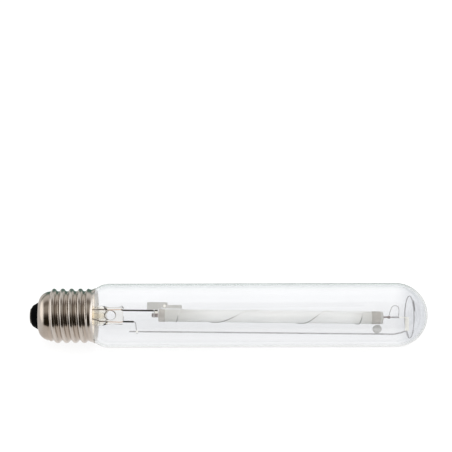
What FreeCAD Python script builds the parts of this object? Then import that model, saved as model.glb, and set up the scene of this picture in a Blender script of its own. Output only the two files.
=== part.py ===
import FreeCAD, Part
import math
import os

# A clear tubular high-pressure sodium grow lamp with an E40 screw cap, lying on its side.
#
# +X runs along the lamp from the centre contact (x = 0) to the dome (x = overall_length), the
# lamp axis is y = z = 0 and +Z is up. The parts inside are drawn in a mount plane: x along the
# lamp, z across it in that plane and y through it. seat() leans and rolls them into the lamp.
# Every length is in millimetres.

Vector = FreeCAD.Vector
X_AXIS = Vector(1, 0, 0)

# ---- the lamp as a whole ----
overall_length = 285.9
bulb_dia = 46.0
mount_roll = -52.4          # degrees about +X that bring the mount plane to how the lamp lies
mount_lean = 0.8            # degrees by which the inner frame droops towards the dome
lean_pivot = Vector(60, 0, 0)
running_gap = 0.03          # radial clearance of wires and tubes that pass through another part

# ---- E40 cap ----
thread_pitch = 6.35
thread_depth = 1.95
thread_arc = 1.78           # radius of both crest and root
thread_root_r = 17.7
first_crest = 16.65         # crest position on the +Z side of the mount plane
cap_wall = 0.4
cap_rim_x = 46.4
cap_rim_r = 19.9
thread_run_in = (13.5, 16.5)    # the thread rises to its full height between these
thread_run_out = (40.0, 44.6)   # and sinks back into the skirt between these
skirt_start = 38.0          # where the plain skirt starts to flare
shoulder_x = 14.7           # where the rounded shoulder meets the thread
shoulder_length = 8.5
cap_mouth_r = 10.2          # hole in the end of the shell, filled by the insulator
contact_r = 5.6
contact_thick = 1.2
eyelet_r = 2.05
eyelet_bore_r = 1.5
eyelet_length = 5.0
insulator_back_x = 9.0
cement_start_x = 19.5
cement_end_x = 45.0

# ---- outer bulb and stem ----
bulb_wall = 1.1
neck_r = 16.6
neck_end_x = 17.75
bulb_straight_x = 57.0      # where the bulb reaches its full diameter
bulb_shoulder_r = 17.2
neck_fillet_r = 10.0
stem_tube_r = 7.2
stem_wall = 1.0
flare_rim_r = 16.5
flare_rim_x = 17.6
flare_end_x = 30.0
stem_tube_end_x = 50.0
press_start_x = 55.0
press_end_x = 66.4
press_half_width = 6.0
press_half_thick = 2.2
blow_hole_x = 58.0
blow_hole_r = 3.5
exhaust_r = 2.5
exhaust_bore_r = 1.6
exhaust_tip_x = 15.5

# ---- leads and frame, with z across the mount plane ----
lead_wire_r = 0.4
shell_lead_x = 13.8         # where the shell lead is soldered to the inside of the shell
shell_lead_end_r = 16.5
shell_lead_way = Vector(0, -0.934, -0.357)
stem_lead_bend = (50, -0.8, -3.9)
stem_lead_knot = (54.3, 0, -4.3)
seal_wire_r = 0.4
lead_rod_r = 0.6
upper_lead_z = 3.95
lower_lead_z = -4.2
upper_rod_start_x = 65.1
lower_rod_start_x = 66.6
frame_rod_r = 0.5
frame_rod_y = 0.75
frame_rod_z = -11.25
link_wire_r = 0.3
tail_wire_r = 0.22

# ---- arc tube ----
arc_axis_z = 0.6
arc_tube_r = 4.45
arc_tube_bore_r = 3.65
arc_tube_start = 92.3
arc_tube_end = 253.7
plug_length = 5.0
plug_recess = 0.2
niobium_r = 1.45
niobium_bore_r = 1.1
electrode_r = 0.55
electrode_reach = 13.0      # from the end of the arc tube to the electrode's tip
coil_wire_r = 0.25
coil_length = 3.6
shield_thick = 0.12
base_shield_length = 4.5
strap_band_x = 88.6         # the band that ties the base niobium tube to its lead rod
strap_band_width = 0.7
dome_shield_start = 245.7
dome_shield_end = 252.0

# ---- dome end: expansion joint and support ----
pin_z = 1.1                 # the feedthrough's pin and the guide sleeve that it slides in
pin_r = 0.6
pin_collar_r = 1.0
pin_collar_x = 257.4
pin_collar_length = 1.8
slide_pin_r = 0.36
slide_pin_end = 263.9
guide_start = 260.7
guide_end = 265.6
guide_r = 0.62
slide_gap = 0.05
strap_thick = 0.4
strap_upright_x = 270.1
strap_width = 2.6
strap_foot_z = -8.6
hoop_x = 273.0
hoop_z = 1.4
hoop_r = 15.15
hoop_wire_r = 0.35
hoop_tilt = 2.9             # degrees out of square with the lamp

# ---- starter and getter ----
bracket_left = 84.2
bracket_notch = 91.9        # from here on the plate clears the arc tube
bracket_step = 94.3
bracket_right = 98.4
bracket_top_z = 10.1
bracket_thick = 0.4
strip_left = 94.7
strip_bend = 98.5           # the strip is clamped up to here and swings beyond it
strip_right = 108.9
strip_z = 6.9
strip_height = 2.6
strip_thick = 0.25
strip_y = -0.55
rivet_x = 96.4
rivet_z = 7.5
ignition_wire_r = 0.2
getter_x = 249.6
getter_y = -0.9
getter_z = -7.15
getter_r = 3.3
getter_height = 1.1
getter_tilt = 30.0

parts = {}


# ---- drawing helpers ----

def line(a, b):
    """Straight edge between two (x, r) points of a turned profile."""
    return Part.LineSegment(Vector(a[0], 0, a[1]), Vector(b[0], 0, b[1])).toShape()


def polyline(*points):
    return [line(a, b) for a, b in zip(points, points[1:])]


def arc(centre, radius, start, end):
    """Circular edge in a turned profile; angles in degrees from +x towards +r."""
    angles = [math.radians(start + (end - start) * f) for f in (0, 0.5, 1)]
    ends = [Vector(centre[0] + radius * math.cos(a), 0, centre[1] + radius * math.sin(a)) for a in angles]
    return Part.Arc(*ends).toShape()


def ellipse_arc(centre, half_x, half_r, start, end, steps=8):
    """Smooth edge along an ellipse in a turned profile; angles as in arc()."""
    angles = [math.radians(start + (end - start) * i / steps) for i in range(steps + 1)]
    curve = Part.BSplineCurve()
    curve.interpolate([Vector(centre[0] + half_x * math.cos(a), 0, centre[1] + half_r * math.sin(a))
                       for a in angles])
    return curve.toShape()


def turned(edges):
    """Solid of revolution about the lamp axis from a closed (x, r) profile."""
    wire = Part.Wire(Part.__sortEdges__(edges))
    return Part.Face(wire).revolve(Vector(0, 0, 0), X_AXIS, 360)


def turned_polygon(*points):
    return turned(polyline(*points, points[0]))


def tube(start, end, outer_r, inner_r, z=0.0, y=0.0):
    """Round tube along x, or a plain cylinder when inner_r is 0."""
    solid = Part.makeCylinder(outer_r, end - start, Vector(start, y, z), X_AXIS)
    if inner_r:
        solid = solid.cut(Part.makeCylinder(inner_r, end - start, Vector(start, y, z), X_AXIS))
    return solid


def rod(points, radius, bend=1.5):
    """Round wire along straight runs joined by tangent arcs of at most the bend radius."""
    points = [Vector(*p) for p in points]
    edges = []
    start = points[0]
    for before, corner, after in zip(points, points[1:], points[2:]):
        back = (before - corner).normalize()
        ahead = (after - corner).normalize()
        half_turn = back.getAngle(ahead) / 2
        room = 0.45 * min((before - corner).Length, (after - corner).Length)
        run = min(bend / math.tan(half_turn), room)
        enter = corner + back * run
        leave = corner + ahead * run
        inward = (back + ahead).normalize()
        arc_r = run * math.tan(half_turn)
        middle = corner + inward * (run / math.cos(half_turn) - arc_r)
        edges += [Part.LineSegment(start, enter).toShape(), Part.Arc(enter, middle, leave).toShape()]
        start = leave
    edges.append(Part.LineSegment(start, points[-1]).toShape())
    section = Part.Wire(Part.makeCircle(radius, points[0], points[1] - points[0]))
    return Part.Wire(edges).makePipeShell([section], True, False)


def plate(x0, x1, z0, z1, y, thick):
    """Flat sheet in the mount plane, centred on y."""
    return Part.makeBox(x1 - x0, thick, z1 - z0, Vector(x0, y - thick / 2, z0))


def ball(x, y, z, radius):
    return Part.makeSphere(radius, Vector(x, y, z))


def minus(solid, *others):
    """The solid with the space of the others cut away."""
    for other in others:
        solid = solid.cut(other)
    return solid


def roll(shape):
    """Turn a cap or stem part about the lamp axis to how the lamp lies."""
    shape = shape.copy()
    shape.rotate(Vector(0, 0, 0), X_AXIS, mount_roll)
    return shape


def seat(shape):
    """Lean a part of the inner frame, then roll it with the rest."""
    shape = shape.copy()
    shape.rotate(lean_pivot, Vector(0, 1, 0), mount_lean)
    return roll(shape)


def add(name, shape, place=roll):
    parts[name] = place(shape)


# ---- E40 cap ----

def thread_height(x, turn):
    """Height of the rounded thread above its root; turn counts right-handed from +Z."""
    phase = (x - first_crest) / thread_pitch - turn
    phase -= round(phase)
    if abs(phase) <= 0.25:
        return thread_depth - thread_arc + math.sqrt(thread_arc**2 - (phase * thread_pitch)**2)
    return thread_arc - math.sqrt(thread_arc**2 - ((0.5 - abs(phase)) * thread_pitch)**2)


def fade(x, start, end):
    """Smooth step from 0 at start to 1 at end."""
    t = min(max((x - start) / (end - start), 0), 1)
    return t * t * (3 - 2 * t)


def shell_radius(x, turn):
    """Outer radius of the threaded part and of the flared skirt."""
    flare = max(x - skirt_start, 0) / (cap_rim_x - skirt_start)
    window = fade(x, *thread_run_in) * (1 - fade(x, *thread_run_out))
    base = thread_root_r + (cap_rim_r - thread_root_r) * flare**2
    return base + window * thread_height(x, turn)


def shoulder_point(angle, inset):
    """(x, r) on the rounded shoulder, inset from its outer face; 180 is the mouth, 90 the thread."""
    a = math.radians(angle)
    half_r = thread_root_r - cap_mouth_r - inset
    return (shoulder_x + (shoulder_length - inset) * math.cos(a), cap_mouth_r + half_r * math.sin(a))


def shell_profile(turn, inset):
    """Points along one meridian of the shell's outer face (inset 0) or inner face (inset wall)."""
    shoulder = [shoulder_point(180 - 90 * i / 14, inset) for i in range(14)]
    steps = 60
    xs = [shoulder_x + (cap_rim_x - shoulder_x) * i / steps for i in range(steps + 1)]
    return shoulder + [(x, shell_radius(x, turn) - inset) for x in xs]


def shell_skin(inset):
    """One smooth closed face of the shell."""
    columns = 32
    rows = []
    for i in range(columns + 1):
        angle = 2 * math.pi * i / columns
        rows.append([Vector(x, -r * math.sin(angle), r * math.cos(angle))
                     for x, r in shell_profile(i / columns, inset)])
    surface = Part.BSplineSurface()
    surface.interpolate(rows)
    return surface


def boundary(surface, end):
    """The ring-shaped edge of a skin: 0 at the mouth, 1 at the rim."""
    bounds = surface.bounds()
    return surface.vIso(bounds[2 + end]).toShape()


def cap_shell():
    outer = shell_skin(0)
    inner = shell_skin(cap_wall)
    rings = [Part.makeRuledSurface(boundary(outer, end), boundary(inner, end)) for end in (0, 1)]
    skin = Part.makeShell([outer.toShape(), inner.toShape()] + rings)
    skin.sewShape()
    solid = Part.Solid(skin)
    if solid.Volume < 0:
        solid.reverse()
    return solid


def cap_insulator():
    """Black vitrite: a stub cone outside, and a dished lining under the shell's shoulder."""
    under_shell = [shoulder_point(180 - 8 * i, cap_wall + running_gap) for i in range(9)]
    hole = eyelet_r + running_gap
    return turned_polygon(
        (contact_thick + running_gap, hole), (contact_thick + running_gap, contact_r + 0.15),
        (0.95, contact_r + 0.15), (1.0, 6.4), (1.2, 6.9), (1.7, 7.5),
        (2.4, 8.0), (6.2, cap_mouth_r - running_gap), *under_shell,
        (12.3, 15.4), (insulator_back_x, 6.0), (insulator_back_x, hole))


def centre_contact():
    """Brass contact plate with the eyelet that the centre lead comes through."""
    return turned_polygon(
        (0, eyelet_bore_r), (0, contact_r - 0.5), (0.12, contact_r - 0.15), (0.35, contact_r),
        (contact_thick, contact_r), (contact_thick, eyelet_r), (eyelet_length, eyelet_r),
        (eyelet_length, eyelet_bore_r))


def contact_solder():
    """Solder that fills the eyelet and holds the centre lead."""
    fill_r = eyelet_bore_r - 0.02
    return turned([*polyline((0.3, fill_r), (2.6, fill_r), (2.6, 0), (0.1, 0)),
                   ellipse_arc((0.3, 0), 0.2, fill_r, 180, 90)])


# ---- outer bulb and stem ----

def bulb_skin(inset):
    """Outer (inset 0) or inner face of the bulb, from the neck's end to the tip of the dome."""
    r = bulb_dia / 2
    convex = (bulb_straight_x, r - bulb_shoulder_r)
    rise = neck_r + neck_fillet_r - convex[1]
    reach = bulb_shoulder_r + neck_fillet_r
    run = math.sqrt(reach**2 - rise**2)
    concave = (bulb_straight_x - run, neck_r + neck_fillet_r)
    slope = math.degrees(math.atan2(rise, -run))
    dome_x = overall_length - r
    return [
        line((neck_end_x, neck_r - inset), (concave[0], neck_r - inset)),
        arc(concave, neck_fillet_r + inset, 270, slope + 180),
        arc(convex, bulb_shoulder_r - inset, slope, 90),
        line((bulb_straight_x, r - inset), (dome_x, r - inset)),
        arc((dome_x, 0), r - inset, 90, 0)]


def outer_bulb():
    tip = overall_length
    return turned([*bulb_skin(0), *bulb_skin(bulb_wall), line((tip, 0), (tip - bulb_wall, 0)),
                   line((neck_end_x, neck_r), (neck_end_x, neck_r - bulb_wall))])


def capping_cement():
    """Ring of cement between shell and neck, run out to the rim along the neck's flare."""
    tip = overall_length + running_gap
    neck_face = neck_r + running_gap
    shell_face = thread_root_r - cap_wall - running_gap
    ring = tube(cement_start_x, cement_end_x, shell_face, neck_face)
    glass = turned([*bulb_skin(-running_gap), line((tip, 0), (neck_end_x, 0)),
                    line((neck_end_x, 0), (neck_end_x, neck_face))])
    return ring.cut(glass)


def stem_flare():
    """Trumpet that is fused to the bulb's neck, and the tube that runs on towards the press."""
    centre = (flare_end_x, flare_rim_r)
    length = flare_end_x - flare_rim_x
    drop = flare_rim_r - stem_tube_r
    bore = stem_tube_r - stem_wall
    return turned([
        ellipse_arc(centre, length, drop, 180, 270),
        line((flare_end_x, stem_tube_r), (stem_tube_end_x, stem_tube_r)),
        line((stem_tube_end_x, stem_tube_r), (stem_tube_end_x, bore)),
        line((stem_tube_end_x, bore), (flare_end_x, bore)),
        ellipse_arc(centre, length + stem_wall, drop + stem_wall, 270, 180),
        line((flare_rim_x - stem_wall, flare_rim_r), (flare_rim_x, flare_rim_r))])


def oval(x, half_z, half_y):
    edge = Part.Ellipse(Vector(x, 0, half_z), Vector(x, half_y, 0), Vector(x, 0, 0)).toShape()
    return Part.Wire(edge)


def stem_press(wires):
    """The tube's end, flattened round the seal wires, with the blow hole of the exhaust tube."""
    squash = [(stem_tube_end_x, stem_tube_r, stem_tube_r - 0.01), (52.2, 7.1, 5.6),
              (press_start_x, 6.35, 2.7), (57.5, press_half_width + 0.1, press_half_thick + 0.1),
              (press_end_x, press_half_width, press_half_thick)]
    body = Part.makeLoft([oval(*section) for section in squash], True)
    bore = stem_tube_r - stem_wall
    cavity = Part.makeLoft([oval(stem_tube_end_x, bore, bore - 0.01), oval(52.2, 5.6, 4.2),
                            oval(54.0, 3.6, 1.7)], True)
    hole = Part.makeCylinder(blow_hole_r, 12, Vector(blow_hole_x, -6, 0), Vector(0, 1, 0))
    channel = tube(53.5, blow_hole_x, exhaust_bore_r * 0.8, 0)
    return minus(body, cavity, hole, channel, *wires)


def exhaust_tube():
    """Tube the bulb was pumped through, tipped off to a point inside the cap."""
    tip = exhaust_tip_x
    return turned_polygon(
        (tip, 0), (tip + 0.5, 0.9), (tip + 2.6, 2.1), (tip + 4, exhaust_r), (52.4, exhaust_r),
        (52.4, exhaust_bore_r), (tip + 4.4, exhaust_bore_r), (tip + 2.2, 0))


# ---- leads and frame ----

def centre_lead_wire(gap=0.0):
    return rod([(2.65, 0, 0), (8, 0, 0), (13, 0, 3.6), (20, 0, 4.3), (53.2, 0, 4.45)], lead_wire_r + gap)


def shell_lead_wire(gap=0.0):
    """Leaves the stem at its open end and turns out over the flare to the shell."""
    end = shell_lead_way * shell_lead_end_r
    return rod([(shell_lead_x, end.y, end.z), (14.6, -10, -3.8), (20, -4.6, -1.4), (44, -3.4, -2.0),
                stem_lead_bend, stem_lead_knot], lead_wire_r + gap)


def shell_lead_weld():
    """Pad of solder between the shell lead and the inside of the shell."""
    foot = Vector(shell_lead_x, 0, 0) + shell_lead_way * (shell_lead_end_r + 0.1)
    return Part.makeCylinder(0.9, 0.35, foot, shell_lead_way)


def seal_wires(gap=0.0):
    """Copper-clad wires that the press is sealed round; a gap widens them into bores."""
    upper = rod([(54.3, 0, 4.15), (upper_rod_start_x - 0.1, 0, upper_lead_z)], seal_wire_r + gap)
    lower = rod([(55.4, 0, -4.35), (lower_rod_start_x - 0.1, 0, lower_lead_z)], seal_wire_r + gap)
    return [upper, lower]


def lead_knots(gap=0.0):
    """Butt welds between the outer leads and the seal wires."""
    return [rod([(52.9, 0, 5.8), (54.9, 0, 3.8)], 0.62 + gap), ball(54.9, 0, -4.3, 0.75 + gap)]


def upper_lead_rod():
    return rod([(upper_rod_start_x, 0, upper_lead_z), (91.6, 0, upper_lead_z)], lead_rod_r)


def lower_lead_rod():
    return rod([(lower_rod_start_x, 0, lower_lead_z), (74.4, 0, lower_lead_z)], lead_rod_r)


def lead_tails():
    """Cut ends of the binding turns where the lead rods leave the press."""
    upper = rod([(65.0, -0.3, 7.4), (66.8, -0.4, 6.2), (66.85, -0.3, 4.84)], tail_wire_r, 0.4)
    lower = rod([(66.9, -0.2, -0.3), (66.9, -0.2, -3.35)], tail_wire_r)
    return [upper, lower]


def frame_link_wire():
    """Thin wire that carries the current from the lower lead down to the frame rod."""
    return rod([(74.65, 0, lower_lead_z), (75.6, -0.08, -5.0), (76.9, -0.08, -13.0)], link_wire_r, 1.0)


def frame_rod():
    return rod([(71, frame_rod_y, frame_rod_z), (262, frame_rod_y, frame_rod_z + 0.15),
                (267, frame_rod_y, -10.0), (272.4, frame_rod_y, -7.9)], frame_rod_r, 4)


# ---- arc tube and its fittings ----

def arc_tube():
    return tube(arc_tube_start, arc_tube_end, arc_tube_r, arc_tube_bore_r, arc_axis_z)


def on_arc_axis(shape):
    shape.translate(Vector(0, 0, arc_axis_z))
    return shape


def mirrored_end(shape):
    """Turn a base-end fitting of the arc tube end for end, for the dome end."""
    shape = shape.copy()
    shape.rotate(Vector((arc_tube_start + arc_tube_end) / 2, 0, arc_axis_z), Vector(0, 0, 1), 180)
    return shape


def end_plug():
    start = arc_tube_start + plug_recess
    hole = niobium_r + running_gap
    return tube(start, start + plug_length, arc_tube_bore_r - running_gap, hole, arc_axis_z)


def frit_seal():
    """Ring of sealing glass round the niobium, on the outer face of the plug."""
    face = arc_tube_start + plug_recess
    hole = niobium_r + running_gap
    return on_arc_axis(turned_polygon((face, hole), (face, 3.3), (face - 0.15, 3.2), (face - 0.9, hole)))


def niobium_tube(outer_end):
    """Sealed tube that carries the electrode through the plug."""
    inner_end = arc_tube_start + plug_recess + plug_length + 0.8
    bore = electrode_r + running_gap
    return on_arc_axis(turned_polygon(
        (outer_end, 0), (outer_end, niobium_r - 0.2), (outer_end + 0.2, niobium_r), (inner_end, niobium_r),
        (inner_end, bore), (inner_end - 1.6, bore), (inner_end - 1.6, niobium_bore_r),
        (outer_end + 0.8, niobium_bore_r), (outer_end + 0.8, 0)))


def electrode_rod():
    inner_end = arc_tube_start + plug_recess + plug_length + 0.8
    return tube(inner_end - 1.5, arc_tube_start + electrode_reach, electrode_r, 0, arc_axis_z)


def electrode_coil():
    """Tungsten winding round the electrode, just behind its tip."""
    pitch = 2 * coil_wire_r + 0.06
    radius = electrode_r + coil_wire_r + 0.02
    helix = Part.makeHelix(pitch, coil_length, radius)
    section = Part.Wire(Part.makeCircle(coil_wire_r, Vector(radius, 0, 0), Vector(0, 1, 0)))
    coil = Part.Wire(helix.Edges).makePipeShell([section], True, True)
    coil.rotate(Vector(0, 0, 0), Vector(0, 1, 0), 90)
    coil.translate(Vector(arc_tube_start + electrode_reach - coil_length - 0.8, 0, arc_axis_z))
    return coil


def shield(start, end):
    """Metal foil wrapped round an end of the arc tube to keep it hot."""
    inner = arc_tube_r + running_gap
    return tube(start, end, inner + shield_thick, inner, arc_axis_z)


def amalgam_dose():
    """Sodium amalgam pellet, lying in the bore behind the base electrode."""
    r = 0.9
    return ball(arc_tube_start + 7.5, 0.4, arc_axis_z - arc_tube_bore_r + r + 0.05, r)


def belt(z1, r1, z2, r2, x, width):
    """Sheet filling the outline of a band stretched round two circles in the plane across the lamp."""
    lean = math.asin((r1 - r2) / (z2 - z1))
    c, s = math.cos(lean), math.sin(lean)
    low = [Vector(x, side * r1 * c, z1 + r1 * s) for side in (-1, 1)]
    high = [Vector(x, side * r2 * c, z2 + r2 * s) for side in (-1, 1)]
    edges = [Part.Arc(low[0], Vector(x, 0, z1 - r1), low[1]).toShape(),
             Part.LineSegment(low[1], high[1]).toShape(),
             Part.Arc(high[1], Vector(x, 0, z2 + r2), high[0]).toShape(),
             Part.LineSegment(high[0], low[0]).toShape()]
    return Part.Face(Part.Wire(edges)).extrude(Vector(width, 0, 0))


def feedthrough_strap():
    """Nickel band that ties the base niobium tube to the upper lead rod."""
    inner = (niobium_r + running_gap, lead_rod_r + running_gap)
    outer = [r + 0.25 for r in inner]
    inside = belt(arc_axis_z, inner[0], upper_lead_z, inner[1], strap_band_x, strap_band_width)
    outside = belt(arc_axis_z, outer[0], upper_lead_z, outer[1], strap_band_x, strap_band_width)
    return outside.cut(inside)


def feedthrough_saddle(neighbours):
    """Small block welded between the niobium tube and the upper lead rod."""
    return minus(plate(89.5, 91.5, 1.6, 3.6, 0, 1.3), *neighbours)


# ---- dome end ----

def dome_feedthrough():
    """Niobium tube of the dome end, whose pin slides in the guide as the arc tube grows."""
    body = mirrored_end(niobium_tube(arc_tube_start - 0.6))
    stub = tube(arc_tube_end + 0.6, pin_collar_x, pin_r, 0, pin_z)
    collar = tube(pin_collar_x, pin_collar_x + pin_collar_length, pin_collar_r, 0, pin_z)
    collar = collar.makeFillet(0.3, collar.Edges)
    pin = tube(pin_collar_x + pin_collar_length, slide_pin_end, slide_pin_r, 0, pin_z)
    return body.fuse([stub, collar, pin]).removeSplitter()


def expansion_guide():
    return tube(guide_start, guide_end, guide_r, slide_pin_r + slide_gap, pin_z)


def flexible_link():
    """Looped wire that carries the current across the expansion joint."""
    top_of_collar = pin_z + pin_collar_r + 0.3
    return rod([(258.4, 0, top_of_collar), (260.2, 0, 8.0), (262.8, 0, 9.8), (266.0, 0, 8.2),
                (264.9, 0, pin_z + 0.9)], 0.25, 2.0)


def cross_strap():
    """Flat strap from the guide sleeve down to the frame rod."""
    leg = plate(guide_end - 1.6, strap_upright_x + 0.5, pin_z - 0.3, pin_z + 0.3, 0, strap_thick)
    upright = plate(strap_upright_x, strap_upright_x + strap_width, strap_foot_z, pin_z + 0.3, 0, strap_thick)
    sleeve = tube(guide_start, guide_end, guide_r + 0.01, 0, pin_z)
    return leg.fuse(upright).removeSplitter().cut(sleeve)


def hoop_place(shape):
    """Stand a shape drawn round the x axis on the hoop's own tilted axis."""
    shape.rotate(Vector(0, 0, 0), Vector(0, 0, 1), hoop_tilt)
    shape.translate(Vector(hoop_x, 0, hoop_z))
    return shape


def hoop_arc(x, start, sweep):
    """Part of a ring of the hoop's wire; start in degrees from the near side upwards."""
    section = Part.Face(Part.Wire(Part.makeCircle(hoop_wire_r, Vector(x, -hoop_r, 0), Vector(0, 0, 1))))
    ring = section.revolve(Vector(0, 0, 0), X_AXIS, sweep)
    ring.rotate(Vector(0, 0, 0), X_AXIS, start)
    return hoop_place(ring)


def dome_hoop():
    """Spring hoop that centres the frame in the dome; its ends lap on the near side."""
    return [hoop_arc(0, 0, 360), hoop_arc(2 * hoop_wire_r + 0.02, -49, 33)]


def hoop_stay(neighbours):
    stay = rod([(271.3, 0, strap_foot_z - 0.03), (272.7, 0, hoop_z - hoop_r + 0.2)], 0.3)
    return minus(stay, *neighbours)


# ---- starter and getter ----

def starter_bracket():
    """Nickel plate on the upper lead rod, with a rolled left edge and a turned-back top."""
    foot = upper_lead_z + lead_rod_r + running_gap
    body = plate(bracket_left, bracket_notch, foot, bracket_top_z, 0, bracket_thick)
    body = body.cut(plate(strap_band_x - 0.1, strap_band_x + strap_band_width + 0.1, foot, foot + 0.4, 0, 1))
    step = plate(bracket_notch - 0.2, bracket_step, foot + 0.8, bracket_top_z, 0, bracket_thick)
    tab = plate(bracket_step - 0.2, bracket_right, strip_z - 0.2, bracket_top_z, 0, bracket_thick)
    roll_edge = Part.makeCylinder(0.45, bracket_top_z - foot, Vector(bracket_left, 0.25, foot))
    flange = Part.makeBox(bracket_right - bracket_left - 0.6, 1.8, bracket_thick,
                          Vector(bracket_left + 0.6, -bracket_thick / 2, bracket_top_z - bracket_thick))
    whole = body.fuse([step, tab, roll_edge, flange]).removeSplitter()
    return whole.cut(rivet(0.02))


def rivet(gap=0.0):
    """Rivet that holds the strip to the bracket."""
    y_front = strip_y - strip_thick / 2 - 0.03
    shank = Part.makeCylinder(0.5 + gap, 2.6, Vector(rivet_x, y_front - 0.3, rivet_z), Vector(0, 1, 0))
    if gap:
        return shank
    head = ball(rivet_x, y_front + 0.5, rivet_z, 1.15)
    head = head.cut(Part.makeBox(4, 4, 4, Vector(rivet_x - 2, y_front, rivet_z - 2)))
    tail = Part.makeCylinder(0.9, 0.3, Vector(rivet_x, bracket_thick / 2 + 0.03, rivet_z), Vector(0, 1, 0))
    shank = shank.common(Part.makeBox(4, 0.3 + bracket_thick / 2 + 0.1 - y_front, 4,
                                      Vector(rivet_x - 2, y_front, rivet_z - 2)))
    return head.fuse([shank, tail]).removeSplitter()


def strip_foot():
    """Clamped end of the bimetal strip, under the rivet's head."""
    half = strip_height / 2
    foot = plate(strip_left, strip_bend - 0.03, strip_z - half, strip_z + half, strip_y, strip_thick)
    return foot.cut(Part.makeCylinder(0.55, 2, Vector(rivet_x, strip_y - 1, rivet_z), Vector(0, 1, 0)))


def bimetal_strip():
    """Free length of the strip, which swings off the ignition wire as the lamp warms."""
    half = strip_height / 2
    strip = plate(strip_bend + 0.03, strip_right, strip_z - half, strip_z + half, strip_y, strip_thick)
    corners = [e for e in strip.Edges
               if abs(e.CenterOfMass.x - strip_right) < 0.01 and abs(e.Length - strip_thick) < 0.01]
    return strip.makeFillet(0.8, corners)


def ignition_point(turn, x):
    """Point on the wire wound round the arc tube; turn 0 is its underside, 0.25 the near side."""
    r = arc_tube_r + ignition_wire_r + 0.08
    a = 2 * math.pi * turn
    return Vector(x, -r * math.sin(a), arc_axis_z - r * math.cos(a))


def ignition_wire():
    """Starting wire: a closing turn at each end and three long turns along the arc tube."""
    crossings = [(-0.4, 107.6), (-0.25, 106.4), (0, 104.7), (0.25, 106.4), (0.5, 108.4), (0.75, 117),
                 (1, 133), (1.25, 147.5), (1.5, 162), (1.75, 179), (2, 195.5), (2.25, 205), (2.5, 214.5),
                 (2.75, 226), (3, 236.3), (3.25, 238.2), (3.5, 239.6), (3.75, 239.3), (3.9, 238.9)]
    points = [Vector(107.0, strip_y + 0.42, strip_z), Vector(107.6, strip_y + 0.42, 6.2)]
    for (turn, x), (next_turn, next_x) in zip(crossings, crossings[1:]):
        steps = max(1, round((next_turn - turn) * 12))
        points += [ignition_point(turn + (next_turn - turn) * i / steps, x + (next_x - x) * i / steps)
                   for i in range(steps)]
    points.append(ignition_point(*crossings[-1]))
    path = Part.BSplineCurve()
    path.interpolate(points)
    section = Part.Wire(Part.makeCircle(ignition_wire_r, points[0], path.tangent(0)[0]))
    return Part.Wire(path.toShape()).makePipeShell([section], True, False)


def getter_place(shape):
    """Tip a part of the getter, drawn about the y axis, into place."""
    shape.rotate(Vector(0, 0, 0), X_AXIS, getter_tilt)
    shape.translate(Vector(getter_x, getter_y, getter_z))
    return shape


def turned_y(*points):
    """Solid of revolution about the y axis from (r, y) points; y points away from the viewer."""
    corners = [Vector(r, y, 0) for r, y in (*points, points[0])]
    return Part.Face(Part.makePolygon(corners)).revolve(Vector(0, 0, 0), Vector(0, 1, 0), 360)


def getter_cup():
    r, h = getter_r, getter_height
    return getter_place(turned_y((0, 0), (r - 0.25, 0), (r, -0.25), (r, -h), (r - 0.25, -h),
                                 (r - 0.25, -0.25), (0, -0.25)))


def getter_fill():
    r = getter_r - 0.28
    return getter_place(turned_y((0, -0.28), (r, -0.28), (r, -0.75), (0.6 * r, -0.62), (0, -0.6)))


def getter_tab():
    """Bent strip welded to the back of the getter cup and to the far side of the frame rod."""
    thick = 0.3
    slope = math.tan(math.radians(getter_tilt))
    top = (getter_y + 0.85 * slope + 0.04, getter_z - 0.85)
    knee = (getter_y + 3.05 * slope + 0.04, getter_z - 3.05)
    back = frame_rod_y + frame_rod_r + running_gap
    outline = [top, knee, (back, frame_rod_z + 0.5), (back, frame_rod_z - 0.1),
               (back + thick, frame_rod_z - 0.1), (back + thick, frame_rod_z + 0.6),
               (knee[0] + thick, knee[1] + 0.15), (top[0] + thick, top[1] + 0.17)]
    corners = [Vector(getter_x - 0.6, y, z) for y, z in (*outline, outline[0])]
    return Part.Face(Part.makePolygon(corners)).extrude(Vector(1.2, 0, 0))


def frame_welds():
    """Weld beads on the frame rod, at the link wire and at the cross strap."""
    rods = [frame_rod(), frame_link_wire(), cross_strap()]
    beads = [ball(76.7, 0.1, frame_rod_z, 0.85), ball(270.9, 0.6, -7.75, 0.7)]
    return [minus(bead, *rods) for bead in beads]


# ---- assembly ----

def largest(shape):
    """The biggest solid of a cut, without stray slivers."""
    return max(shape.Solids, key=lambda s: s.Volume)


def group(shapes):
    return Part.makeCompound([largest(s) for s in shapes])


def build_cap():
    add("cap_shell", cap_shell())
    add("cap_insulator", cap_insulator())
    add("centre_contact", centre_contact())
    add("contact_solder", contact_solder())
    add("capping_cement", capping_cement())
    add("centre_lead_wire", centre_lead_wire())
    add("shell_lead_wire", shell_lead_wire())
    add("shell_lead_weld", shell_lead_weld())


def build_glass():
    gap = 0.02
    bores = [*seal_wires(gap), *lead_knots(gap), centre_lead_wire(gap), shell_lead_wire(gap),
             tube(upper_rod_start_x - 0.2, 68, lead_rod_r + 0.1, 0, upper_lead_z),
             tube(lower_rod_start_x - 0.3, 68, lead_rod_r + 0.1, 0, lower_lead_z)]
    add("outer_bulb", outer_bulb())
    add("stem_flare", stem_flare())
    add("stem_press", largest(stem_press(bores)))
    add("exhaust_tube", exhaust_tube())


def build_leads():
    wires = [*seal_wires(), centre_lead_wire(), shell_lead_wire()]
    add("seal_wires", group(seal_wires()))
    add("lead_knots", group([minus(knot, *wires) for knot in lead_knots()]))
    add("upper_lead_rod", upper_lead_rod(), seat)
    add("lower_lead_rod", lower_lead_rod(), seat)
    add("lead_tails", group(lead_tails()), seat)
    add("frame_link_wire", frame_link_wire(), seat)
    add("frame_rod", frame_rod(), seat)
    add("frame_welds", group(frame_welds()), seat)


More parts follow.
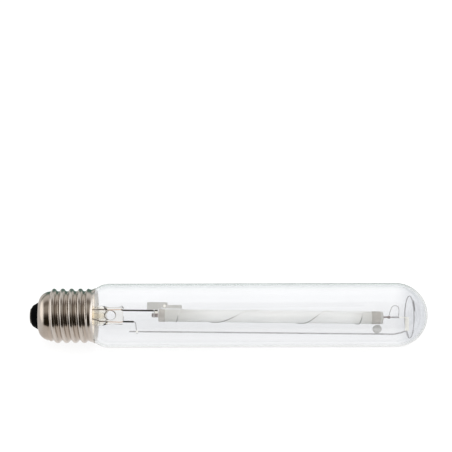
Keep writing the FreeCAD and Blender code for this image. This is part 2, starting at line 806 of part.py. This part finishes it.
def build_arc_tube():
    base_tube = niobium_tube(87.3)
    add("arc_tube", arc_tube(), seat)
    add("base_end_plug", end_plug(), seat)
    add("dome_end_plug", mirrored_end(end_plug()), seat)
    add("base_frit_seal", frit_seal(), seat)
    add("dome_frit_seal", mirrored_end(frit_seal()), seat)
    add("base_feedthrough", base_tube, seat)
    add("dome_feedthrough", dome_feedthrough(), seat)
    add("base_electrode_rod", electrode_rod(), seat)
    add("dome_electrode_rod", mirrored_end(electrode_rod()), seat)
    add("base_electrode_coil", electrode_coil(), seat)
    add("dome_electrode_coil", mirrored_end(electrode_coil()), seat)
    add("base_heat_shield", shield(arc_tube_start, arc_tube_start + base_shield_length), seat)
    add("dome_heat_shield", shield(dome_shield_start, dome_shield_end), seat)
    add("amalgam_dose", amalgam_dose(), seat)
    add("feedthrough_strap", feedthrough_strap(), seat)
    add("feedthrough_saddle", largest(feedthrough_saddle([base_tube, upper_lead_rod()])), seat)


def build_dome_end():
    hoop = dome_hoop()
    add("expansion_guide", expansion_guide(), seat)
    add("flexible_link", flexible_link(), seat)
    add("cross_strap", cross_strap(), seat)
    add("dome_hoop", Part.makeCompound(hoop), seat)
    add("hoop_stay", largest(hoop_stay([cross_strap(), *hoop, frame_rod(), *frame_welds()])), seat)


def build_starter():
    add("starter_bracket", starter_bracket(), seat)
    add("strip_rivet", rivet(), seat)
    add("strip_foot", strip_foot(), seat)
    add("bimetal_strip", bimetal_strip(), seat)
    add("ignition_wire", ignition_wire(), seat)
    add("getter_cup", getter_cup(), seat)
    add("getter_fill", getter_fill(), seat)
    add("getter_tab", getter_tab(), seat)


build_cap()
build_glass()
build_leads()
build_arc_tube()
build_dome_end()
build_starter()

os.makedirs("parts", exist_ok=True)
for name, shape in parts.items():
    shape.exportStep(f"parts/{name}.step")
    print(f"{name}: {len(shape.Solids)} solids, {shape.Volume:.2f} mm3, valid {shape.isValid()}")
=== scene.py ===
import math

import bpy
from mathutils import Matrix, Vector


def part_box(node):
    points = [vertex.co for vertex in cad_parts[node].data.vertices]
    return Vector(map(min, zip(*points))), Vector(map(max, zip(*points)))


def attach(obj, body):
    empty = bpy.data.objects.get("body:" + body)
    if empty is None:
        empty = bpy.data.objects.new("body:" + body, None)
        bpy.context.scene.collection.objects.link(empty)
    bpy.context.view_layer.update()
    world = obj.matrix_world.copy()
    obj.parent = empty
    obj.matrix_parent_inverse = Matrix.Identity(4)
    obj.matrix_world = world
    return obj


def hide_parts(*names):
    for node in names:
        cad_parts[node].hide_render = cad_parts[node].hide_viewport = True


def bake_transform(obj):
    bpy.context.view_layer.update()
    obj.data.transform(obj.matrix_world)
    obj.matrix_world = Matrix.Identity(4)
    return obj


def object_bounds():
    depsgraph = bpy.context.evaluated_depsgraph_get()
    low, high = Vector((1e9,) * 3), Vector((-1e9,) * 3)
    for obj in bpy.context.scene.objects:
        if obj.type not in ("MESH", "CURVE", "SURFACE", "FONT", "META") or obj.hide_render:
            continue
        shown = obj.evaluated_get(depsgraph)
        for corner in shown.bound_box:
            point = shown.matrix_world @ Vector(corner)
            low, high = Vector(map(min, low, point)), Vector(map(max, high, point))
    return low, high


# A clear tubular high-pressure sodium grow lamp on a pale table. Lengths are in metres, and the
# lamp lies along x with its cap at x = 0.
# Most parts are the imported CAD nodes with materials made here. The glass bulb, the lip of the blow
# hole, the arc tube and the flexible link are meshes made here.

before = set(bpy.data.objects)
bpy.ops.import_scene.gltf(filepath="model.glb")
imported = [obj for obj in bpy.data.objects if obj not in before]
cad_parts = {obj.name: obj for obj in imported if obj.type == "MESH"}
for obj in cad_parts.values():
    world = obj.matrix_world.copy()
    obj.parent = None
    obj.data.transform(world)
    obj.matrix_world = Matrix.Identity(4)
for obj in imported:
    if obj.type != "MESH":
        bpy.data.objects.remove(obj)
bpy.context.view_layer.update()
cad_low, cad_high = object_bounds()

ROLL = Matrix.Rotation(math.radians(-52.4), 4, "X")          # how the lamp lies
LEAN_PIVOT = Matrix.Translation((0.060, 0, 0))
LEAN = LEAN_PIVOT @ Matrix.Rotation(math.radians(0.8), 4, "Y") @ LEAN_PIVOT.inverted()
SEAT = ROLL @ LEAN                                            # the inner frame's own plane
WHITE = (1, 1, 1, 1)
ALONG_WIRE = (0.12, 1, 1)     # grain drawn out along the lamp, as on pulled wire
ALONG_SHEET = (0.3, 1, 1)     # grain of rolled sheet


# ---- node helpers ----

def new_material(name):
    """A material whose tree holds one Principled node, and that node."""
    material = bpy.data.materials.new(name)
    material.use_nodes = True
    tree = material.node_tree
    tree.nodes.clear()
    out = tree.nodes.new("ShaderNodeOutputMaterial")
    shader = tree.nodes.new("ShaderNodeBsdfPrincipled")
    tree.links.new(shader.outputs["BSDF"], out.inputs["Surface"])
    return material, tree, shader


def set_input(tree, socket, value):
    """Links a socket to a node's output, or gives it a fixed value."""
    if isinstance(value, bpy.types.NodeSocket):
        tree.links.new(value, socket)
    else:
        socket.default_value = value


def place(tree, scale=(1, 1, 1)):
    """Object coordinates, stretched."""
    coordinates = tree.nodes.new("ShaderNodeTexCoord")
    mapping = tree.nodes.new("ShaderNodeMapping")
    mapping.inputs["Scale"].default_value = scale
    tree.links.new(coordinates.outputs["Object"], mapping.inputs["Vector"])
    return mapping.outputs["Vector"]


def axes(tree, vector):
    """The x, y and z of a vector."""
    separate = tree.nodes.new("ShaderNodeSeparateXYZ")
    tree.links.new(vector, separate.inputs["Vector"])
    return separate.outputs["X"], separate.outputs["Y"], separate.outputs["Z"]


def noise(tree, vector, scale, detail=4.0, rough=0.55):
    node = tree.nodes.new("ShaderNodeTexNoise")
    node.inputs["Scale"].default_value = scale
    node.inputs["Detail"].default_value = detail
    node.inputs["Roughness"].default_value = rough
    tree.links.new(vector, node.inputs["Vector"])
    return node.outputs["Fac"]


def ramp(tree, factor, *stops):
    """Colour ramp; each stop is (position, colour)."""
    node = tree.nodes.new("ShaderNodeValToRGB")
    elements = node.color_ramp.elements
    while len(elements) < len(stops):
        elements.new(0.5)
    for element, (position, colour) in zip(elements, stops):
        element.position = position
        element.color = (*colour, 1)
    tree.links.new(factor, node.inputs["Fac"])
    return node.outputs["Color"]


def spread(tree, factor, low, high, start=0.3, end=0.7):
    """factor from start to end, mapped to low to high."""
    node = tree.nodes.new("ShaderNodeMapRange")
    for name, value in (("From Min", start), ("From Max", end), ("To Min", low), ("To Max", high)):
        node.inputs[name].default_value = value
    tree.links.new(factor, node.inputs["Value"])
    return node.outputs["Result"]


def blend_colour(tree, factor, a, b, mode="MIX"):
    node = tree.nodes.new("ShaderNodeMix")
    node.data_type = "RGBA"
    node.blend_type = mode
    first_colour, second_colour, colour_out = 6, 7, 2
    set_input(tree, node.inputs["Factor"], factor)
    set_input(tree, node.inputs[first_colour], a)
    set_input(tree, node.inputs[second_colour], b)
    return node.outputs[colour_out]


def math_node(tree, operation, a, b=0.0):
    node = tree.nodes.new("ShaderNodeMath")
    node.operation = operation
    set_input(tree, node.inputs[0], a)
    set_input(tree, node.inputs[1], b)
    return node.outputs[0]


def weighted_sum(tree, a, weight_a, b, weight_b):
    return math_node(tree, "ADD", math_node(tree, "MULTIPLY", a, weight_a),
                     math_node(tree, "MULTIPLY", b, weight_b))


def bump(tree, shader, height, strength, distance):
    node = tree.nodes.new("ShaderNodeBump")
    node.inputs["Strength"].default_value = strength
    node.inputs["Distance"].default_value = distance
    tree.links.new(height, node.inputs["Height"])
    tree.links.new(node.outputs["Normal"], shader.inputs["Normal"])


# ---- materials ----

def surface(name, dark, light, roughness, grain=900, stretch=(1, 1, 1), patch=120, relief=0.25,
            depth=0.00005, **sockets):
    """Worked surface: two tones in patches, grain in colour, roughness and relief."""
    material, tree, shader = new_material(name)
    fine = noise(tree, place(tree, stretch), grain)
    broad = noise(tree, place(tree), patch, 3)
    mixed = weighted_sum(tree, fine, 0.45, broad, 0.55)
    tree.links.new(ramp(tree, mixed, (0.35, dark), (0.65, light)), shader.inputs["Base Color"])
    smooth, rough = roughness
    tree.links.new(spread(tree, mixed, rough, smooth), shader.inputs["Roughness"])
    bump(tree, shader, fine, relief, depth)
    for socket, value in sockets.items():
        shader.inputs[socket.replace("_", " ")].default_value = value
    return material


def let_lamps_through(tree, shader):
    """Clear to lamps, so that what is inside is lit without noise."""
    path = tree.nodes.new("ShaderNodeLightPath")
    clear = tree.nodes.new("ShaderNodeBsdfTransparent")
    clear.inputs["Color"].default_value = (0.98, 0.98, 0.98, 1)
    mix = tree.nodes.new("ShaderNodeMixShader")
    tree.links.new(path.outputs["Is Shadow Ray"], mix.inputs[0])
    tree.links.new(shader.outputs["BSDF"], mix.inputs[1])
    tree.links.new(clear.outputs["BSDF"], mix.inputs[2])
    out = next(node for node in tree.nodes if node.type == "OUTPUT_MATERIAL")
    tree.links.new(mix.outputs["Shader"], out.inputs["Surface"])


def glass(name, clear, tinted, tint_from, tint_to, ior, rim, waves, rim_from):
    """Blown glass with faint waves, clear at x = tint_from and tinted at x = tint_to, and with painted
    shade greying its rims past x = rim_from, where the surface turns edge-on to the view."""
    material, tree, shader = new_material(name)
    x, _, _ = axes(tree, place(tree))
    body = ramp(tree, spread(tree, x, 0, 1, tint_from, tint_to), (0.0, clear), (1.0, tinted))
    # Painted shade: Layer Weight greys the glass towards the rim colour where it turns edge-on.
    facing = tree.nodes.new("ShaderNodeLayerWeight")
    facing.inputs["Blend"].default_value = 0.5
    shade = ramp(tree, facing.outputs["Facing"], (0.35, (1, 1, 1)), (0.62, (0.96, 0.965, 0.965)),
                 (0.80, [math.sqrt(c) for c in rim]), (0.92, rim), (1.0, [c * c for c in rim]))
    fade_in = 0.004
    rimmed = spread(tree, x, 0, 1, rim_from, rim_from + fade_in)
    tree.links.new(blend_colour(tree, rimmed, body, shade, "MULTIPLY"), shader.inputs["Base Color"])
    bump(tree, shader, noise(tree, place(tree, (0.25, 1, 1)), 60, 2), waves, 0.0001)
    shader.inputs["Transmission Weight"].default_value = 1.0
    shader.inputs["Roughness"].default_value = 0.0
    shader.inputs["IOR"].default_value = ior
    let_lamps_through(tree, shader)
    return material


def cement_film(tree, y, z):
    """1 on faces that look towards the lamp's axis, where wiped cement covers the plate."""
    coordinates = tree.nodes.new("ShaderNodeTexCoord")
    _, normal_y, normal_z = axes(tree, coordinates.outputs["Normal"])
    outward = weighted_sum(tree, normal_y, y, normal_z, z)
    return spread(tree, outward, 1, 0, -0.006, -0.002)


def nickel_cap():
    """Rolled nickel plate: fine turning lines, painted shade darkening the thread roots against lighter
    crests, and cement wiped over its inside."""
    material, tree, shader = new_material("nickel_plate")
    lines = noise(tree, place(tree, (1, 0.04, 0.04)), 5200, 3)
    smears = noise(tree, place(tree, (1, 0.6, 0.6)), 150, 5)
    specks = noise(tree, place(tree), 2600, 2)
    _, y, z = axes(tree, place(tree))
    radius = math_node(tree, "SQRT", weighted_sum(tree, y, y, z, z))
    root_r, crest_r = 0.0178, 0.0197
    crest = spread(tree, radius, 0, 1, root_r, crest_r)
    plate = ramp(tree, smears, (0.3, (0.56, 0.515, 0.47)), (0.55, (0.66, 0.62, 0.575)),
                 (0.8, (0.70, 0.66, 0.61)))
    # Painted shade: darker in the thread roots than on the crests.
    painted_root_shade = blend_colour(tree, crest, (0.50, 0.445, 0.39, 1), plate)
    speckled = spread(tree, specks, 0, 0.35, 0.62, 0.75)
    stained = blend_colour(tree, speckled, painted_root_shade, (0.30, 0.26, 0.22, 1))
    inside = cement_film(tree, y, z)
    tree.links.new(blend_colour(tree, inside, stained, (0.90, 0.87, 0.82, 1)), shader.inputs["Base Color"])
    plate_rough = math_node(tree, "ADD", spread(tree, smears, 0.09, 0.17), spread(tree, lines, 0.0, 0.05))
    cement_rough = math_node(tree, "MULTIPLY", inside, 0.7)
    tree.links.new(math_node(tree, "ADD", plate_rough, cement_rough), shader.inputs["Roughness"])
    bump(tree, shader, lines, 0.12, 0.00002)
    tree.links.new(spread(tree, inside, 1.0, 0.0, 0, 1), shader.inputs["Metallic"])
    return material


def alumina():
    """Translucent sintered alumina of the arc tube, darkened towards both ends by painted shade."""
    material, tree, shader = new_material("sintered_alumina")
    grain = noise(tree, place(tree), 3800, 3)
    cloud = noise(tree, place(tree, (0.3, 1, 1)), 160, 3)
    body = ramp(tree, cloud, (0.35, (0.90, 0.91, 0.90)), (0.65, (0.94, 0.945, 0.935)))
    low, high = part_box("arc_tube")
    x, _, _ = axes(tree, place(tree))
    # Painted shade near both ends, standing in for the plugs and electrodes inside showing dark through
    # the ceramic.
    base_end_shade = spread(tree, x, 1, 0, low.x + 0.006, low.x + 0.040)
    dome_end_shade = spread(tree, x, 0, 1, high.x - 0.024, high.x - 0.006)
    ends = math_node(tree, "MAXIMUM", base_end_shade, dome_end_shade)
    tree.links.new(blend_colour(tree, ends, body, (0.66, 0.66, 0.63, 1)), shader.inputs["Base Color"])
    tree.links.new(spread(tree, grain, 0.42, 0.55), shader.inputs["Roughness"])
    bump(tree, shader, grain, 0.2, 0.00002)
    shader.inputs["Transmission Weight"].default_value = 0.35
    shader.inputs["IOR"].default_value = 1.3
    return material


def ignition_wire_metal():
    """Tungsten wire with painted light: light above, and painted shade where it turns under the arc tube.
    """
    material, tree, shader = new_material("ignition_wire")
    _, y, z = axes(tree, place(tree))
    across = weighted_sum(tree, y, 0.743, z, 0.669)     # across the lamp, upwards as it is seen
    wander = spread(tree, noise(tree, place(tree), 900), -0.0008, 0.0008)
    # Painted light and shade: light on the wire's upper side, dark on its underside.
    painted_light_tone = spread(tree, math_node(tree, "ADD", across, wander), 0, 1, -0.0019, 0.0013)
    tree.links.new(ramp(tree, painted_light_tone, (0.0, (0.16, 0.16, 0.16)), (1.0, (0.86, 0.86, 0.85))),
                   shader.inputs["Base Color"])
    grain = noise(tree, place(tree), 2600)
    tree.links.new(spread(tree, grain, 0.25, 0.4), shader.inputs["Roughness"])
    bump(tree, shader, grain, 0.25, 0.00005)
    shader.inputs["Metallic"].default_value = 0.1
    return material


materials = {
    # Bulb: the grey tint of its dome past x = 0.264 is painted shade, and its teal-grey rims are painted
    # shade with a painted teal reflection.
    "clear_glass": glass("bulb_glass", (0.965, 0.972, 0.983), (0.84, 0.85, 0.87), 0.264, 0.275,
                         1.47, (0.56, 0.63, 0.60), 0.008, 0.046),
    # Stem: its warm grey rims are painted shade.
    "stem_glass": glass("stem_glass", (0.97, 0.93, 0.84), (0.985, 0.975, 0.95), 0.030, 0.062,
                        1.25, (0.82, 0.77, 0.69), 0.05, 0.049),
    # Blow-hole lip: its dark grey, darkest towards the cap, is painted shade for the lip's dark outline.
    "blow_hole_lip": glass("blow_hole_lip", (0.30, 0.29, 0.27), (0.40, 0.38, 0.35), 0.054, 0.062,
                           1.3, (0.8, 0.8, 0.8), 0.05, 0.05),
    "nickel_cap": nickel_cap(),
    "alumina": alumina(),
    "ignition_tungsten": ignition_wire_metal(),
    "black_vitrite": surface("black_vitrite", (0.0004, 0.0004, 0.0004), (0.0015, 0.0015, 0.002),
                             (0.4, 0.6), 1400, relief=0.3, depth=0.0001, Specular_IOR_Level=0.01),
    # The contact's dark tinned brass is painted shade: it is darkened to the shade at the cap's end.
    "contact_brass": surface("tinned_brass_painted_shade", (0.10, 0.095, 0.085), (0.24, 0.23, 0.21), (0.35, 0.5),
                             1500, Metallic=0.9),
    "tin_solder": surface("tin_solder", (0.42, 0.42, 0.43), (0.72, 0.72, 0.73), (0.25, 0.5),
                          700, relief=0.5, depth=0.0001, Metallic=1.0),
    # The cement's emission is painted light: it glows so that the cement deep in the cap looks lit.
    "cement": surface("capping_cement", (0.86, 0.80, 0.72), (0.95, 0.91, 0.84), (0.85, 0.95),
                      1800, relief=0.6, depth=0.0001, Emission_Color=(1.0, 0.90, 0.78, 1),
                      Emission_Strength=0.6),
    "copper_lead": surface("copper_lead", (0.10, 0.065, 0.045), (0.30, 0.19, 0.12), (0.3, 0.5),
                           2500, ALONG_WIRE, Metallic=1.0),
    "seal_wire": surface("borated_seal_wire", (0.76, 0.55, 0.44), (0.90, 0.76, 0.66), (0.25, 0.4),
                         2500, ALONG_WIRE, Metallic=0.5),
    "dark_rod": surface("oxidised_rod", (0.025, 0.023, 0.022), (0.10, 0.093, 0.085), (0.3, 0.5),
                        2600, ALONG_WIRE, Metallic=0.9),
    "nickel_wire": surface("nickel_wire", (0.30, 0.30, 0.31), (0.50, 0.50, 0.51), (0.22, 0.4),
                           2600, ALONG_WIRE, Metallic=0.3),
    "nickel_sheet": surface("nickel_sheet", (0.48, 0.48, 0.46), (0.66, 0.66, 0.64), (0.35, 0.5),
                            1700, ALONG_SHEET, Metallic=0.15),
    "steel_strap": surface("plated_strap", (0.88, 0.87, 0.80), (0.97, 0.96, 0.91), (0.25, 0.45),
                           1700, ALONG_SHEET, Metallic=0.1),
    "frit": surface("sealing_frit", (0.66, 0.62, 0.60), (0.82, 0.78, 0.75), (0.35, 0.6), 1500),
    "niobium": surface("niobium", (0.24, 0.21, 0.21), (0.42, 0.38, 0.37), (0.3, 0.5),
                       2300, ALONG_WIRE, Metallic=0.5),
    "shield_foil": surface("heat_shield_foil", (0.40, 0.385, 0.36), (0.54, 0.52, 0.49), (0.4, 0.6),
                           1500, Metallic=0.2),
    "tungsten": surface("tungsten", (0.12, 0.12, 0.12), (0.26, 0.26, 0.26), (0.3, 0.5),
                        2500, Metallic=1.0),
    "amalgam": surface("amalgam", (0.42, 0.42, 0.43), (0.7, 0.7, 0.71), (0.15, 0.3),
                       900, Metallic=1.0),
    "getter_steel": surface("getter_cup_steel", (0.46, 0.46, 0.45), (0.64, 0.64, 0.63), (0.3, 0.5),
                            1700, Metallic=0.2),
    "getter_powder": surface("getter_powder", (0.38, 0.38, 0.37), (0.58, 0.58, 0.57), (0.7, 0.9),
                             3500, relief=0.7, depth=0.00015),
}

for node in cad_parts.values():
    slot_name = node.data.materials[0].name.split(".")[0]
    node.data.materials[0] = materials[slot_name]


# ---- mesh helpers ----

def circle_points(count):
    """Angle steps of a full turn, without its end."""
    return [2 * math.pi * i / count for i in range(count)]


def arc_points(centre, radius, start, end, steps, first=0):
    """(x, r) along an arc in the lamp's half plane, from step first to its end."""
    angles = [start + (end - start) * i / steps for i in range(first, steps + 1)]
    return [(centre.x + radius * math.cos(a), centre.y + radius * math.sin(a)) for a in angles]


def line_points(start, end, steps, r):
    """(x, r) along a straight of one radius, with both its ends."""
    return [(start + (end - start) * i / steps, r) for i in range(steps + 1)]


def new_piece(name, vertices, faces, slot, matrix=None):
    mesh = bpy.data.meshes.new(name)
    mesh.from_pydata([tuple(v) for v in vertices], [], faces)
    if matrix is not None:
        mesh.transform(matrix)
    mesh.update()
    mesh.shade_smooth()
    mesh.materials.append(materials[slot])
    piece = bpy.data.objects.new(name, mesh)
    bpy.context.scene.collection.objects.link(piece)
    return piece


def lathe(name, profile, slot, matrix=None, columns=160):
    """Turned closed body about the x axis. profile is a closed ring of (x, r); r = 0 makes a pole."""
    vertices, rings = [], []
    for x, r in profile:
        if r == 0:
            rings.append([len(vertices)] * columns)
            vertices.append((x, 0, 0))
            continue
        rings.append(list(range(len(vertices), len(vertices) + columns)))
        vertices += [(x, r * math.cos(a), r * math.sin(a)) for a in circle_points(columns)]
    faces = []
    for ring, after in zip(rings, rings[1:] + rings[:1]):
        for i in range(columns):
            j = (i + 1) % columns
            corners = [ring[i], ring[j], after[j], after[i]]
            face = [c for k, c in enumerate(corners) if c != corners[k - 1]]
            if len(set(face)) >= 3:
                faces.append(face)
    return new_piece(name, vertices, faces, slot, matrix)


def smooth_path(points, per_span=8):
    """Catmull-Rom points through the given ones."""
    points = [Vector(p) for p in points]
    ends = [points[0] * 2 - points[1], *points, points[-1] * 2 - points[-2]]
    path = []
    for a, b, c, d in zip(ends, ends[1:], ends[2:], ends[3:]):
        for i in range(per_span):
            t = i / per_span
            path.append(0.5 * (2 * b + (c - a) * t + (2 * a - 5 * b + 4 * c - d) * t * t
                               + (3 * b - a - 3 * c + d) * t ** 3))
    return path + [points[-1]]


def wire_sections(path, radius):
    """(centre, size, side, up) of each ring of a wire, with smaller rings that round its ends."""
    rounding = [(0.0, 0.35), (0.2, 0.8)]        # (share of the radius from the end, size)
    side = (path[1] - path[0]).orthogonal().normalized()
    last = len(path) - 1
    sections = []
    for k, point in enumerate(path):
        ahead = (path[min(k + 1, last)] - path[max(k - 1, 0)]).normalized()
        side = (side - ahead * side.dot(ahead)).normalized()
        up = ahead.cross(side)
        if k == 0:
            sections += [(point + ahead * radius * back, size, side, up) for back, size in rounding]
        elif k == last:
            sections += [(point - ahead * radius * back, size, side, up)
                         for back, size in rounding[::-1]]
        else:
            sections.append((point, 1.0, side, up))
    return sections


def wire(name, path, radius, slot, matrix=None, columns=12):
    """Round wire with rounded ends along a dense path."""
    sections = wire_sections(path, radius)
    vertices, faces = [], []
    for centre, size, side, up in sections:
        vertices += [centre + (side * math.cos(a) + up * math.sin(a)) * radius * size
                     for a in circle_points(columns)]
    for k in range(len(sections) - 1):
        for i in range(columns):
            j = (i + 1) % columns
            faces.append((k * columns + i, k * columns + j, (k + 1) * columns + j, (k + 1) * columns + i))
    end_ring = (len(sections) - 1) * columns
    faces.append(tuple(range(columns))[::-1])
    faces.append(tuple(range(end_ring, end_ring + columns)))
    return new_piece(name, vertices, faces, slot, matrix)


# ---- the glass bulb ----

def bulb_profile(inset, reverse=False):
    """(x, r) from the neck's end to the tip of the dome, inset from the outer face."""
    low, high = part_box("outer_bulb")
    radius = (high.z - low.z) / 2
    neck_r, neck_end = 0.0166, low.x
    convex_r, concave_r = 0.0172, 0.010
    straight_x, dome_x = 0.057, high.x - radius
    neck_steps, concave_steps, convex_steps, straight_steps, dome_steps = 8, 12, 16, 60, 40
    convex = Vector((straight_x, radius - convex_r))
    rise = neck_r + concave_r - convex.y
    run = math.sqrt((convex_r + concave_r) ** 2 - rise ** 2)
    concave = Vector((straight_x - run, neck_r + concave_r))
    lean = math.atan2(rise, -run)
    dome = Vector((dome_x, 0))
    points = line_points(neck_end, concave.x, neck_steps, neck_r - inset)[:-1]
    points += arc_points(concave, concave_r + inset, 1.5 * math.pi, lean + math.pi, concave_steps)
    points += arc_points(convex, convex_r - inset, lean, math.pi / 2, convex_steps, first=1)
    points += line_points(straight_x, dome_x, straight_steps, radius - inset)[1:-1]
    points += arc_points(dome, radius - inset, math.pi / 2, 0, dome_steps)[:-1]
    points.append((dome_x + radius - inset, 0))
    return points[::-1] if reverse else points


wall = 0.0011
bulb = lathe("bulb", bulb_profile(0) + bulb_profile(wall, True), "clear_glass", columns=192)
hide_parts("outer_bulb")
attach(bulb, "lamp")


# ---- the fused rim of the blow hole in the stem press ----

def blow_hole_rim():
    """Rounded glass lip, oval in the plane of the press and thicker towards the tube."""
    turns, columns = 48, 10
    centre, half_length, half_width = Vector((0.0574, -0.0027, 0.0003)), 0.0041, 0.0034
    thin, tube_side, press_side, press_turn = 0.00014, 0.0004, 0.00028, 0.5
    vertices, faces = [], []
    for a in circle_points(turns):
        lip = (thin + tube_side * max(0, -math.cos(a)) ** 2
               + press_side * max(0, math.cos(a - press_turn)) ** 3)
        middle = centre + Vector((half_length * math.cos(a), 0, half_width * math.sin(a)))
        out = Vector((math.cos(a), 0, math.sin(a)))
        for b in circle_points(columns):
            vertices.append(middle + out * lip * math.cos(b) + Vector((0, lip * math.sin(b), 0)))
    for i in range(turns):
        for j in range(columns):
            k, m = (i + 1) % turns, (j + 1) % columns
            faces.append((i * columns + j, i * columns + m, k * columns + m, k * columns + j))
    piece = new_piece("blow_hole_rim", vertices, faces, "blow_hole_lip", ROLL)
    return piece


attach(blow_hole_rim(), "lamp")


# ---- the arc tube, which grows past its fixed base end ----

def arc_tube_piece():
    """Open ceramic tube with softly broken edges."""
    start, end, lift = 0.0923, 0.2537, 0.0006
    outer, inner, edge, steps = 0.00445, 0.00365, 0.0001, 54
    out = line_points(start + edge, end - edge, steps, outer)
    back = line_points(end - edge, start + edge, steps, inner)
    profile = [(start, outer - edge), *out, (end, outer - edge), (end, inner + edge), *back,
               (start, inner + edge)]
    return lathe("arc_tube_body", profile, "alumina", SEAT @ Matrix.Translation((0, 0, lift)), 96)


tube = arc_tube_piece()
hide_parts("arc_tube")
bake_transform(tube)


# ---- the flexible link over the expansion joint ----

def flexible_link():
    """Loop of wire from the dome-end pin over to the guide sleeve."""
    route = [(0.2584, 0, 0.0023), (0.2588, 0, 0.0041), (0.2595, 0, 0.0062), (0.2604, 0, 0.0083),
             (0.2619, 0, 0.00935), (0.2637, 0, 0.0093), (0.2651, 0, 0.0082), (0.26555, 0, 0.0064),
             (0.2654, 0, 0.0040), (0.2650, 0, 0.00195)]
    return wire("flexible_link_loop", smooth_path(route), 0.00025, "nickel_wire", SEAT)


link = flexible_link()
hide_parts("flexible_link")
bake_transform(link)


# ---- floor, light and camera ----

def make_floor():
    side, rows = 6.0, 24
    stride = rows + 1
    vertices = [((i / rows - 0.5) * side, (j / rows - 0.5) * side, cad_low.z)
                for i in range(stride) for j in range(stride)]
    faces = [(i * stride + j, (i + 1) * stride + j, (i + 1) * stride + j + 1, i * stride + j + 1)
             for i in range(rows) for j in range(rows)]
    mesh = bpy.data.meshes.new("floor")
    mesh.from_pydata(vertices, [], faces)
    material, tree, shader = new_material("pale_table")
    tree.links.new(ramp(tree, noise(tree, place(tree), 30), (0.3, (0.13, 0.13, 0.13)),
                        (0.7, (0.15, 0.15, 0.15))), shader.inputs["Base Color"])
    shader.inputs["Roughness"].default_value = 0.9
    shader.inputs["Specular IOR Level"].default_value = 0.1
    shader.inputs["Emission Color"].default_value = WHITE
    shader.inputs["Emission Strength"].default_value = 0.84
    mesh.materials.append(material)
    floor = bpy.data.objects.new("floor", mesh)
    bpy.context.scene.collection.objects.link(floor)
    floor.visible_glossy = False


# Colours of the room round the lamp's axis: (share of the turn, colour). 0 is level behind the
# lamp, 0.25 straight down, 0.5 level in front where the viewer stands, 0.75 straight up.
TEAL = (0.14, 0.22, 0.195)
ROOM = [
    (0.0, TEAL), (0.10, TEAL), (0.13, (0.36, 0.43, 0.41)), (0.155, (0.90, 0.88, 0.88)),
    (0.25, (0.96, 0.92, 0.90)), (0.39, (0.92, 0.87, 0.84)), (0.44, (0.85, 0.80, 0.76)),
    (0.50, (0.66, 0.61, 0.57)), (0.515, (0.02, 0.015, 0.008)), (0.62, (0.028, 0.021, 0.012)),
    (0.655, (0.12, 0.10, 0.085)), (0.70, (0.42, 0.38, 0.34)), (0.765, (0.46, 0.43, 0.39)),
    (0.81, (0.24, 0.21, 0.185)), (0.845, (0.30, 0.27, 0.25)), (0.88, (0.70, 0.675, 0.66)),
    (0.94, (0.84, 0.82, 0.80)), (0.975, (0.60, 0.60, 0.59)), (1.0, TEAL)]
LEFT_BOX = [(0.0, (0.9, 0.9, 0.92)), (0.25, (1.7, 1.68, 1.66)), (0.8, (2.0, 2.0, 2.0))]
RIGHT_BOX = [(0.0, (0.20, 0.18, 0.16)), (0.3, (0.30, 0.28, 0.26)), (0.8, (0.6, 0.6, 0.6))]


def make_world():
    """A room: pale below, grey-brown overhead, teal level behind, a dark patch where the viewer stands,
    and soft boxes to both sides, the left one brighter.
    """
    world = bpy.data.worlds.new("studio")
    bpy.context.scene.world = world
    world.use_nodes = True
    tree = world.node_tree
    tree.nodes.clear()
    out = tree.nodes.new("ShaderNodeOutputWorld")
    background = tree.nodes.new("ShaderNodeBackground")
    tree.links.new(background.outputs[0], out.inputs["Surface"])
    coordinates = tree.nodes.new("ShaderNodeTexCoord")
    x, y, z = axes(tree, coordinates.outputs["Generated"])
    elevation = math_node(tree, "ARCTAN2", z, math_node(tree, "MULTIPLY", y, -1.0))
    room = ramp(tree, spread(tree, elevation, 0, 1, -math.pi, math.pi), *ROOM)
    below = spread(tree, z, 1, 0, -0.12, -0.02)
    aside = spread(tree, math_node(tree, "ABSOLUTE", x), 0, 1, 0.25, 0.45)
    table = (0.80, 0.77, 0.75, 1)
    room = blend_colour(tree, math_node(tree, "MULTIPLY", below, aside), room, table)
    right = spread(tree, x, 0, 1, 0.80, 0.95)
    left = spread(tree, x, 1, 0, -0.82, -0.64)
    lit = blend_colour(tree, right, room, ramp(tree, z, *RIGHT_BOX))
    lit = blend_colour(tree, left, lit, ramp(tree, z, *LEFT_BOX))
    tree.links.new(lit, background.inputs["Color"])
    background.inputs["Strength"].default_value = 1.0


def make_lamp(name, size, power, spot):
    """Soft box turned to the middle of the lamp and hidden from the cap's mirror."""
    data = bpy.data.lights.new(name, "AREA")
    data.size = size
    data.energy = power
    lamp = bpy.data.objects.new(name, data)
    lamp.location = spot
    towards = Vector((0.14, 0, 0)) - Vector(spot)
    lamp.rotation_euler = towards.to_track_quat("-Z", "Y").to_euler()
    lamp.visible_glossy = False
    lamp.visible_camera = False
    lamp.visible_transmission = False
    bpy.context.scene.collection.objects.link(lamp)


def make_camera():
    data = bpy.data.cameras.new("camera")
    data.lens = 90.6
    data.sensor_width = 36
    data.clip_start, data.clip_end = 0.01, 50
    camera = bpy.data.objects.new("camera", data)
    camera.location = (0.14018, -0.50245, 0.65226)
    camera.rotation_euler = (math.radians(90 - 47.90), math.radians(0.07), math.radians(-0.16))
    bpy.context.scene.collection.objects.link(camera)
    bpy.context.scene.camera = camera


make_floor()
make_world()
make_lamp("overhead", 1.6, 26, (0.14, 0.1, 1.2))
make_lamp("front", 1.2, 18, (0.14, -1.1, 0.7))
make_camera()
bpy.context.scene.view_settings.view_transform = "Standard"
bounces = bpy.context.scene.cycles
bounces.max_bounces = bounces.transmission_bounces = bounces.transparent_max_bounces = 32
